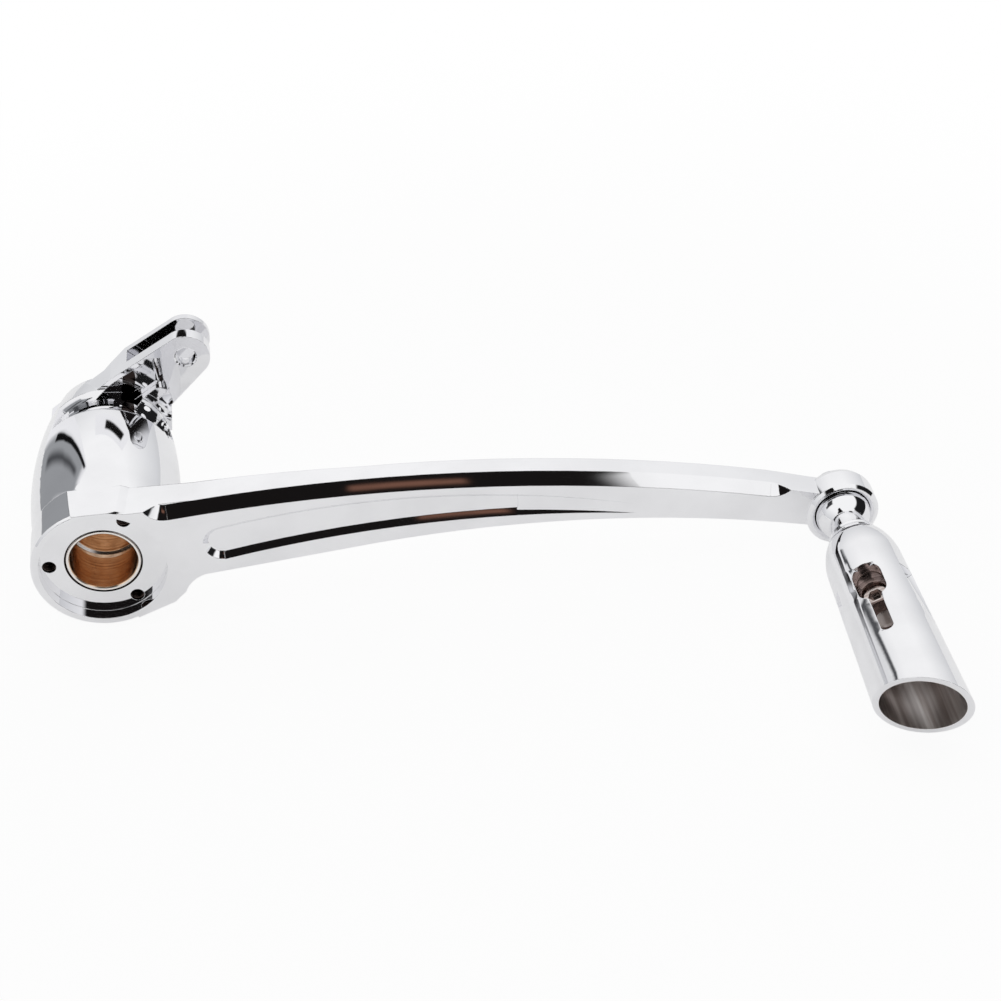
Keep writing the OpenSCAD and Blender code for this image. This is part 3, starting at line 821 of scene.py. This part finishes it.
@dataclass
class Dressing:
    """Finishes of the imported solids.

    Args:
        nodes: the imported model's objects by name.
        front_y_mm: the arm's front face at the eye.
        slot_deg: turn of the sleeve's slot from the top, to the left.
        screw_in_mm: the clamp screw's distance from the arm's front face.
        head_rise_mm: height of the middle of its head above the peg's axis.
        bolt_head_mm: distance of the middle of the mount bolt's head from the bolt's end.
        bolt_head_d_mm: diameter of that head.
    """

    nodes: Mapping[str, bpy.types.Object]
    front_y_mm: float = -4.8
    slot_deg: float = 23.0
    screw_in_mm: float = 60.0
    head_rise_mm: float = 5.3
    bolt_head_mm: float = 3.0
    bolt_head_d_mm: float = 13.0

    def put_on(self, node: str, material: bpy.types.Material) -> None:
        """Gives a solid its material.

        Args:
            node: the solid's name.
            material: its finish.
        """
        mesh = self.nodes[node].data
        mesh.materials.clear()
        mesh.materials.append(material)
        log.info("%s is dressed in %s", node, material.name)

    def build(self) -> None:
        """Dresses every solid and adds the fine details."""
        chrome = ChromePlate(name="chrome plate over turned steel").make()
        # Oil in the bushings darkens their bronze, and their faced rims carry a pale painted highlight
        bronze = TurnedMetal("turned bronze", "#E6C6A6", "#B08562", 0.2,
                             rim_r_mm=13.0, rim_highlight_colour="#F4EEE9").make()
        # Oil and scale on the barrel look dark and a little brown
        dark = TurnedMetal("oiled dark steel", "#9C8984", "#5F504B", 0.26).make()
        # Black oxide is thin, so the screw's steel still shines through, warm and grey
        screw = TurnedMetal("satin black oxide steel", "#D6CCC8", "#9A8C86", 0.2).make()
        # A tap leaves torn, unplated metal, and its colour is darkened further as painted shade, for the dark
        # of a deep hole
        thread = TurnedMetal("bare cut thread in painted shade", "#6E5F5A", "#2C2523", 0.3).make()
        # Zinc is a cool, even grey with a soft sheen
        zinc = TurnedMetal("zinc plated steel", "#C9CCD0", "#9DA1A6", 0.28).make()
        self.put_on("brake_arm", ArmFinish(ChromePlate(crown_per_mm=0.0085)).make())
        BallStud().make(chrome)
        self.put_on("toe_peg", SleeveFinish(ChromePlate(name="chrome plate over turned sleeve")).make())
        for node in ("outer_bushing", "inner_bushing"):
            self.put_on(node, bronze)
        self.put_on("clamp_barrel", dark)
        self.put_on("peg_clamp_screw", screw)
        for node in ("peg_mount_bolt", "mount_washer"):
            self.put_on(node, zinc)
        CoverScrewThreads().make(thread)
        lean = math.radians(self.slot_deg)
        head = Vector((PEG_X_MM - self.head_rise_mm * math.sin(lean), self.front_y_mm - self.screw_in_mm,
                       PEG_Z_MM + self.head_rise_mm * math.cos(lean))) * MM
        HeadKnurling(centre=tuple(head), turn_deg=(0.0, -self.slot_deg, 0.0)).make(screw, "dark_steel")
        _, far_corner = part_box("peg_mount_bolt")
        head = Vector((PEG_X_MM * MM, far_corner.y - self.bolt_head_mm * MM, PEG_Z_MM * MM))
        HeadKnurling(head_d_mm=self.bolt_head_d_mm, ridges=48, centre=tuple(head),
                     turn_deg=(90.0, 0.0, 0.0)).make(zinc, "bolt_steel")


@dataclass(frozen=True)
class SkyPatch:
    """A darker or lighter patch of the photo tent, seen in the chrome.

    Args:
        azimuth: degrees to the right (+X) of straight in front of the pedal (-Y).
        elevation: degrees above the horizon.
        half_width: half its width in degrees.
        half_height: half its height in degrees.
        soft: width of its soft edge in degrees.
        colour: its colour.
        lean: degrees that it shifts sideways for each degree that it rises.
        arch: degrees that it sinks for each square degree away from straight ahead.
    """

    azimuth: float
    elevation: float
    half_width: float
    half_height: float
    soft: float
    colour: str
    lean: float = 0.0
    arch: float = 0.0


@dataclass
class Studio:
    """White photo tent with a pale table, and the camera in the tent's opening.

    Args:
        table_glow: share of plain white in what the camera sees of the table's middle.
        glow_fade: shares of the table's radius between which that rises to one.
        mirror_glow: share of plain white in what the chrome sees of the table.
        card_spans_deg: for each card, its least and greatest azimuth and elevation.
    """

    table_z: float
    table_x: float = 0.14
    table_r: float = 0.62
    table_colour: str = "#FDFDFD"
    table_glow: float = 0.93
    glow_fade: tuple[float, float] = (0.3, 0.85)
    mirror_glow: float = 0.45
    top_colour: str = "#FFFFFF"
    side_colour: str = "#DCDDDF"
    below_colour: str = "#D6D7D9"
    lens_mm: float = 76.2
    sensor_mm: float = 36.0
    eye_mm: tuple[float, float, float] = (96.7, -644.5, 493.0)
    turn_deg: tuple[float, float, float] = (53.09, 2.69, -6.93)
    patches: tuple[SkyPatch, ...] = (
        # Dark rope of the tent behind the pedal on the left, a thin line on the peg
        SkyPatch(-143.6, 19.0, 1.3, 15.0, 0.9, "#4A4B4E", lean=-0.15),
        # Dark ends of the tent beside the pedal, which the ball shows on its left and right
        SkyPatch(-111.0, 34.0, 15.0, 15.0, 3.0, "#3A3A3C"),
        SkyPatch(88.0, 14.0, 36.0, 26.0, 3.0, "#1E1E1F"),
        # Opening of the tent in front, with a level dark edge above it, black in the cove
        SkyPatch(-6.0, 24.0, 34.5, 27.0, 2.5, "#171515"),
        SkyPatch(-2.0, 50.4, 44.0, 5.6, 0.7, "#171515"),
        # Two brown strips at that edge, seen as streaks in the cove and the slot
        SkyPatch(8.0, 48.35, 6.0, 0.45, 0.4, "#7A5648", arch=0.0059),
        SkyPatch(7.5, 52.9, 6.0, 0.45, 0.4, "#7A5648", arch=0.0059),
    )
    folds: tuple[SkyPatch, ...] = (
        # Grey fold of the left card with a darker stripe, and the black curve of its edge
        SkyPatch(-138.0, 14.0, 15.0, 29.0, 2.5, "#9A9C9F", lean=-0.19),
        SkyPatch(-142.5, 16.0, 2.4, 22.0, 2.6, "#4E4F52", lean=-0.1),
        SkyPatch(-153.2, 22.5, 1.6, 22.0, 0.7, "#121213", lean=-0.195),
        # Black strip of the right card
        SkyPatch(164.5, 26.0, 9.5, 2.4, 0.7, "#131212"),
    )
    card_spans_deg: tuple[tuple[int, int, int, int], ...] = ((-161, -119, -14, 46), (150, 184, 20, 32))
    card_step_deg: int = 2
    card_centre_mm: tuple[float, float, float] = (-5.0, 30.0, 27.0)
    card_r_mm: float = 130.0
    card_colour: str = "#F2F2F4"
    panel_centre_mm: tuple[float, float, float] = (300.0, -48.0, 97.0)
    panel_r_mm: float = 62.0

    def build(self) -> None:
        """Makes the table, the tent, the things in it that only the chrome shows, and the camera."""
        self.make_table()
        self.make_tent()
        self.make_panel()
        self.make_card()
        self.make_camera()

    @staticmethod
    def make_disc(name: str, radius: float, steps: int, place: Matrix) -> bpy.types.Object:
        """Makes a flat round sheet.

        Args:
            name: its name.
            radius: its radius.
            steps: corners of its outline.
            place: where it stands, across its own Z.

        Returns:
            The new object.
        """
        turns = [math.tau * i / steps for i in range(steps)]
        ring = [place @ Vector((radius * math.cos(t), radius * math.sin(t), 0.0)) for t in turns]
        return add_object(name, ring, [list(range(steps))])

    @staticmethod
    def show_in_chrome_only(thing: bpy.types.Object, material: bpy.types.Material) -> None:
        """Lets a glowing thing be seen in mirrors, and neither directly nor by its light or shadow.

        Args:
            thing: the thing.
            material: its material.
        """
        thing.data.materials.append(material)
        thing.visible_camera = False
        thing.visible_diffuse = False
        thing.visible_shadow = False
        thing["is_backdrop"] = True

    def make_table(self) -> None:
        """Makes the round pale table that the pedal lies on."""
        middle = Vector((self.table_x, 0.0, self.table_z))
        table = self.make_disc("table", self.table_r, 96, Matrix.Translation(middle))
        material = new_material("matt white table top")
        tree = material.node_tree
        place = add_node(tree, "ShaderNodeTexCoord")
        centred = add_node(tree, "ShaderNodeMapping", inputs={
            "Vector": place.outputs["Object"], "Location": -middle,
        })
        away = add_node(tree, "ShaderNodeVectorMath", {"operation": "LENGTH"}, {0: centred.outputs["Vector"]})
        # The camera sees the table turn to plain white towards its edge, so the edge can't be seen
        near, far = self.glow_fade
        glow = add_node(tree, "ShaderNodeMapRange", {"interpolation_type": "SMOOTHSTEP"}, {
            "Value": away.outputs["Value"], "From Min": self.table_r * near, "From Max": self.table_r * far,
            "To Min": self.table_glow, "To Max": 1.0,
        })
        seen = add_node(tree, "ShaderNodeLightPath")
        watched = add_node(tree, "ShaderNodeMath", {"operation": "MULTIPLY"}, {
            0: seen.outputs["Is Camera Ray"], 1: glow.outputs["Result"],
        })
        mirrored = add_node(tree, "ShaderNodeMath", {"operation": "MULTIPLY"}, {
            0: seen.outputs["Is Glossy Ray"], 1: self.mirror_glow,
        })
        share = add_node(tree, "ShaderNodeMath", {"operation": "MAXIMUM"}, {
            0: watched.outputs["Value"], 1: mirrored.outputs["Value"],
        })
        paint = add_node(tree, "ShaderNodeBsdfDiffuse", inputs={"Color": linear(self.table_colour)})
        white = add_node(tree, "ShaderNodeEmission", inputs={"Strength": 1.0})
        both = add_node(tree, "ShaderNodeMixShader", inputs={
            0: share.outputs["Value"], 1: paint.outputs["BSDF"], 2: white.outputs["Emission"],
        })
        add_node(tree, "ShaderNodeOutputMaterial", inputs={"Surface": both.outputs["Shader"]})
        table.data.materials.append(material)
        table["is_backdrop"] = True
        log.info("table at %.1f mm", self.table_z / MM)

    def make_tent(self) -> None:
        """Makes the white tent with its opening, as light from all round."""
        world = bpy.data.worlds.new("photo tent")
        world.use_nodes = True
        bpy.context.scene.world = world
        tree = world.node_tree
        tree.nodes.clear()
        place = add_node(tree, "ShaderNodeTexCoord")
        parts = add_node(tree, "ShaderNodeSeparateXYZ", inputs={0: place.outputs["Generated"]})
        height = add_node(tree, "ShaderNodeMath", {"operation": "ARCSINE"}, {0: parts.outputs["Z"]})
        share = add_node(tree, "ShaderNodeMapRange", inputs={
            "Value": height.outputs["Value"], "From Min": math.radians(-90), "From Max": math.radians(90),
        })
        tent = add_node(tree, "ShaderNodeValToRGB", inputs={"Fac": share.outputs["Result"]})
        set_ramp(tent, [(0.49, self.below_colour), (0.51, self.side_colour), (0.7, self.top_colour)])
        colour = self.paint(tree, place.outputs["Generated"], tent.outputs["Color"], self.patches)
        # The camera sees plain white, and the chrome and the table see the tent
        seen = add_node(tree, "ShaderNodeLightPath")
        shown = add_node(tree, "ShaderNodeMix", {"data_type": "RGBA"}, {
            0: seen.outputs["Is Camera Ray"], 6: colour, 7: (1.0, 1.0, 1.0, 1.0),
        })
        light = add_node(tree, "ShaderNodeBackground", inputs={"Color": shown.outputs[2], "Strength": 1.0})
        add_node(tree, "ShaderNodeOutputWorld", inputs={"Surface": light.outputs["Background"]})
        log.info("tent with %d patches", len(self.patches))

    @staticmethod
    def paint(
        tree: bpy.types.NodeTree,
        direction: bpy.types.NodeSocket,
        colour: bpy.types.NodeSocket,
        patches: Sequence[SkyPatch],
    ) -> bpy.types.NodeSocket:
        """Paints patches over a colour that depends on a direction.

        Args:
            tree: the node tree.
            direction: the direction of unit length.
            colour: the colour without the patches.
            patches: the patches, from the lowest layer to the topmost.

        Returns:
            The painted colour.
        """
        parts = add_node(tree, "ShaderNodeSeparateXYZ", inputs={0: direction})
        front = add_node(tree, "ShaderNodeMath", {"operation": "MULTIPLY"}, {0: parts.outputs["Y"], 1: -1.0})
        azimuth = add_node(tree, "ShaderNodeMath", {"operation": "ARCTAN2"}, {
            0: parts.outputs["X"], 1: front.outputs["Value"],
        })
        elevation = add_node(tree, "ShaderNodeMath", {"operation": "ARCSINE"}, {0: parts.outputs["Z"]})
        squared = add_node(tree, "ShaderNodeMath", {"operation": "POWER"}, {
            0: azimuth.outputs["Value"], 1: 2.0,
        })
        for patch in patches:
            # The arch is given for degrees and worked out in radians
            raised = add_node(tree, "ShaderNodeMath", {"operation": "MULTIPLY_ADD"}, {
                0: squared.outputs["Value"], 1: math.degrees(patch.arch), 2: elevation.outputs["Value"],
            })
            above = add_node(tree, "ShaderNodeMath", {"operation": "SUBTRACT"}, {
                0: elevation.outputs["Value"], 1: math.radians(patch.elevation),
            })
            turned = add_node(tree, "ShaderNodeMath", {"operation": "MULTIPLY_ADD"}, {
                0: above.outputs["Value"], 1: -patch.lean, 2: azimuth.outputs["Value"],
            })
            shares = []
            for angle, middle, half in (
                (turned, patch.azimuth, patch.half_width),
                (raised, patch.elevation, patch.half_height),
            ):
                off = add_node(tree, "ShaderNodeMath", {"operation": "SUBTRACT"}, {
                    0: angle.outputs["Value"], 1: math.radians(middle),
                })
                away = add_node(tree, "ShaderNodeMath", {"operation": "ABSOLUTE"}, {0: off.outputs["Value"]})
                inside = add_node(tree, "ShaderNodeMapRange", {"interpolation_type": "SMOOTHSTEP"}, {
                    "Value": away.outputs["Value"], "From Min": math.radians(half + patch.soft),
                    "From Max": math.radians(half - patch.soft),
                })
                shares.append(inside.outputs["Result"])
            share = add_node(tree, "ShaderNodeMath", {"operation": "MULTIPLY"}, dict(enumerate(shares)))
            mix = add_node(tree, "ShaderNodeMix", {"data_type": "RGBA"}, {
                0: share.outputs["Value"], 6: colour, 7: linear(patch.colour),
            })
            colour = mix.outputs[2]
        return colour

    def make_card(self) -> None:
        """Makes the curved cards behind the hub, which show only in its chrome."""
        centre = Vector(self.card_centre_mm) * MM
        radius = self.card_r_mm * MM
        step = self.card_step_deg
        points: list[Vector] = []
        faces: list[list[int]] = []
        for left, right, low, high in self.card_spans_deg:
            azimuths = [math.radians(a) for a in range(left, right + step, step)]
            heights = [math.radians(e) for e in range(low, high + step, step)]
            first = len(points)
            wide = len(azimuths)
            for e in heights:
                for a in azimuths:
                    towards = Vector((math.sin(a) * math.cos(e), -math.cos(a) * math.cos(e), math.sin(e)))
                    points.append(centre + radius * towards)
            for row in range(len(heights) - 1):
                for c in range(wide - 1):
                    corner = first + row * wide + c
                    faces.append([corner, corner + 1, corner + wide + 1, corner + wide])
        card = add_object("grey_card", points, faces)
        material = new_material("grey card with dark folds")
        tree = material.node_tree
        place = add_node(tree, "ShaderNodeTexCoord")
        off = add_node(tree, "ShaderNodeVectorMath", {"operation": "SUBTRACT"}, {
            0: place.outputs["Object"], 1: tuple(centre),
        })
        unit = add_node(tree, "ShaderNodeVectorMath", {"operation": "NORMALIZE"}, {0: off.outputs["Vector"]})
        plain = add_node(tree, "ShaderNodeRGB")
        plain.outputs[0].default_value = linear(self.card_colour)
        colour = self.paint(tree, unit.outputs["Vector"], plain.outputs[0], self.folds)
        glow = add_node(tree, "ShaderNodeEmission", inputs={"Color": colour, "Strength": 1.0})
        add_node(tree, "ShaderNodeOutputMaterial", inputs={"Surface": glow.outputs["Emission"]})
        self.show_in_chrome_only(card, material)

    def make_panel(self) -> None:
        """Makes the small round light panel whose mirror image is the highlight on the ball."""
        centre = Vector(self.panel_centre_mm) * MM
        aim = Vector(BALL_CENTRE_MM) * MM
        turn = (aim - centre).to_track_quat("-Z", "Y").to_matrix().to_4x4()
        panel = self.make_disc("light_panel", self.panel_r_mm * MM, 48, Matrix.Translation(centre) @ turn)
        material = new_material("lit panel cloth")
        tree = material.node_tree
        glow = add_node(tree, "ShaderNodeEmission", inputs={"Strength": 1.0})
        add_node(tree, "ShaderNodeOutputMaterial", inputs={"Surface": glow.outputs["Emission"]})
        self.show_in_chrome_only(panel, material)

    def make_camera(self) -> None:
        """Puts the camera where the photograph was taken from."""
        lens = bpy.data.cameras.new("camera")
        lens.lens = self.lens_mm
        lens.sensor_width = self.sensor_mm
        lens.clip_start = 0.01
        lens.clip_end = 20.0
        camera = bpy.data.objects.new("camera", lens)
        camera.location = Vector(self.eye_mm) * MM
        camera.rotation_euler = [math.radians(a) for a in self.turn_deg]
        bpy.context.scene.collection.objects.link(camera)
        bpy.context.scene.camera = camera


def main() -> None:
    """Loads the solids, dresses them and sets up the studio."""
    logging.basicConfig(level=logging.INFO)
    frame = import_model()
    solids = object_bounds()
    bpy.context.scene.view_settings.view_transform = "Standard"
    Dressing(frame["nodes"]).build()
    Studio(table_z=solids[0].z - 0.02 * MM).build()


if __name__ == "__main__":
    main()
